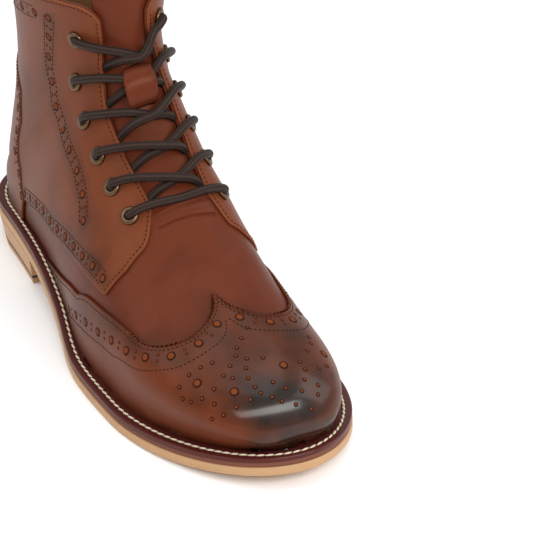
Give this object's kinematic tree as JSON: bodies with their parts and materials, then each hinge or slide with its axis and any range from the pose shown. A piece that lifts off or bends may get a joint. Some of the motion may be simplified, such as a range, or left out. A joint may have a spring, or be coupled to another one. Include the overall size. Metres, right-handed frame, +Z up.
{
  "type": "brogue ankle boot",
  "caption": "Brown leather wing-tip brogue ankle boot with derby lacing, antique brass eyelets, stitched welt, stacked heel and an inner side zip.",
  "frame": {"origin": "centre of the heel's ground face", "axes": "+X to the toe, +Y to the inner side of the foot, +Z up"},
  "size_m": [0.305, 0.1099, 0.1881],
  "materials": {
    "leather": "satin",
    "toe_leather": "polished",
    "lining": "matte",
    "brass": "antique",
    "lace": "waxed",
    "welt": "satin",
    "midsole": "matte",
    "outsole": "satin",
    "heel": "satin",
    "rubber": "matte",
    "zip_tape": "matte"
  },
  "bodies": {
    "boot": {"outsole": "outsole", "midsole": "midsole", "welt": "welt", "heel_stack": "heel", "heel_line": "rubber", "heel_lift": "heel", "insole": "lining", "upper": "leather", "wing_cap": "toe_leather", "quarter_lateral": "leather", "quarter_medial": "leather", "counter": "leather", "tongue": "leather", "lace_keeper": "leather", "eyelet_lateral_1": "brass", "eyelet_lateral_2": "brass", "eyelet_lateral_3": "brass", "eyelet_lateral_4": "brass", "eyelet_lateral_5": "brass", "eyelet_lateral_6": "brass", "eyelet_medial_1": "brass", "eyelet_medial_2": "brass", "eyelet_medial_3": "brass", "eyelet_medial_4": "brass", "eyelet_medial_5": "brass", "eyelet_medial_6": "brass", "lace_bar": "lace", "lace_cross_1": "lace", "lace_cross_2": "lace", "lace_cross_3": "lace", "lace_cross_4": "lace", "lace_cross_5": "lace", "zip_chain": "zip_tape", "zip_slider": "brass"},
    "zip_pull": {"zip_pull": "brass"}
  },
  "joints": [
    {"name": "pull_swing", "type": "hinge", "parent": "boot", "child": "zip_pull", "pos_m": [0.03168, 0.04289, 0.15263], "axis": [1, 0, 0], "range_deg": [0, 150]}
  ]
}
